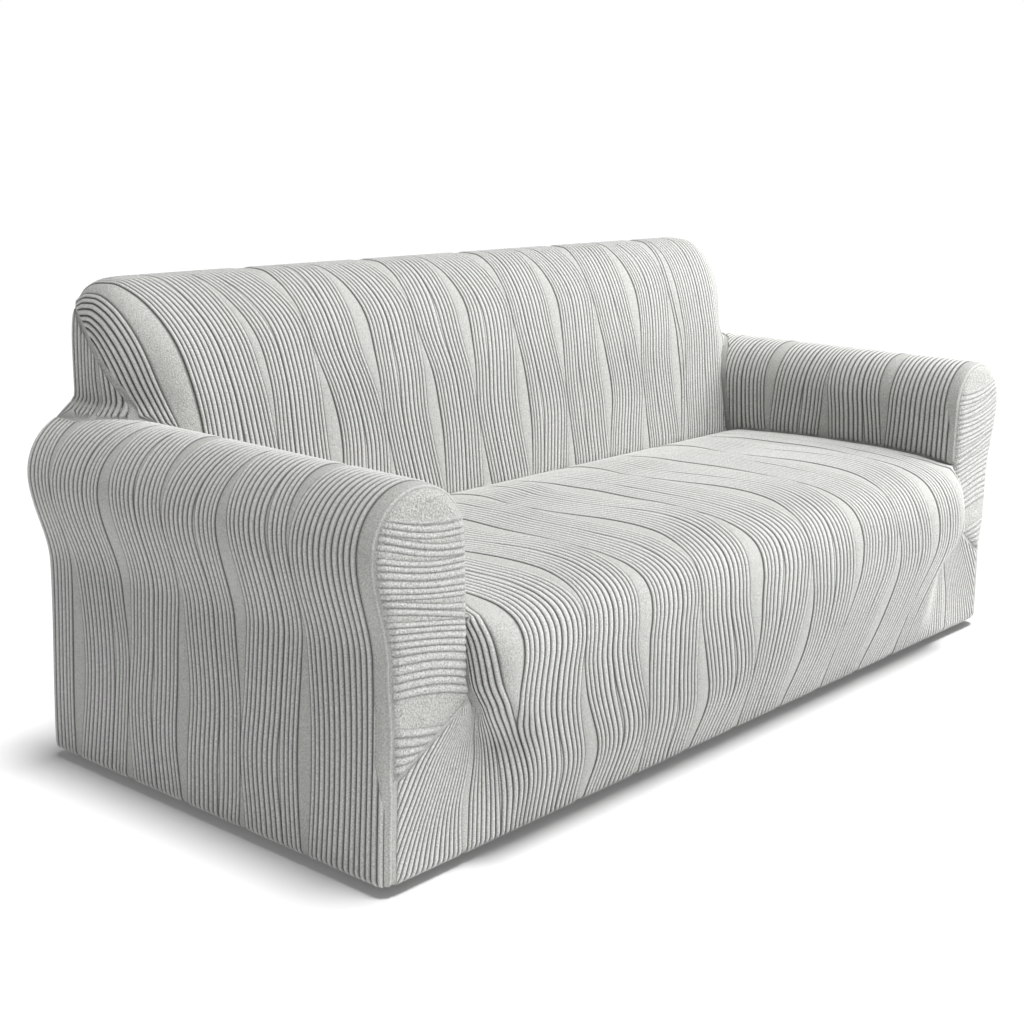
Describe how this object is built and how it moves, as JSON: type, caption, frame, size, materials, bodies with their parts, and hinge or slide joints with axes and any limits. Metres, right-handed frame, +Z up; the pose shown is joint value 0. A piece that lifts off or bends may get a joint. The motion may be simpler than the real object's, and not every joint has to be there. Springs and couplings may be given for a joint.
{
  "type": "sofa slipcover",
  "caption": "Fitted stretch knit cover for a three-seat sofa with rolled arms, hollow and open underneath, with wavy raised ribs.",
  "frame": {"origin": "underside of the cloth over the middle of the back's top, where the sofa's back holds the cover up", "axes": "+X to the right seen from the front, +Y towards the sofa's rear, +Z up; the seat's front faces -Y"},
  "size_m": [2.0552, 0.9643, 0.8807],
  "materials": {
    "inside_back_cloth": "matt ribbed stretch knit, light silver grey",
    "outside_back_cloth": "matt ribbed stretch knit, light silver grey",
    "seat_cloth": "matt ribbed stretch knit, light silver grey",
    "arm_left_cloth": "matt ribbed stretch knit, light silver grey",
    "arm_right_cloth": "matt ribbed stretch knit, light silver grey",
    "arm_front_left_cloth": "matt ribbed stretch knit, light silver grey",
    "arm_front_right_cloth": "matt ribbed stretch knit, light silver grey",
    "back_end_left_cloth": "matt ribbed stretch knit, light silver grey",
    "back_end_right_cloth": "matt ribbed stretch knit, light silver grey"
  },
  "bodies": {
    "root": {"inside_back": "inside_back_cloth", "outside_back": "outside_back_cloth", "seat": "seat_cloth", "arm_left": "arm_left_cloth", "arm_right": "arm_right_cloth", "arm_front_left": "arm_front_left_cloth", "arm_front_right": "arm_front_right_cloth", "back_end_left": "back_end_left_cloth", "back_end_right": "back_end_right_cloth"}
  },
  "joints": []
}
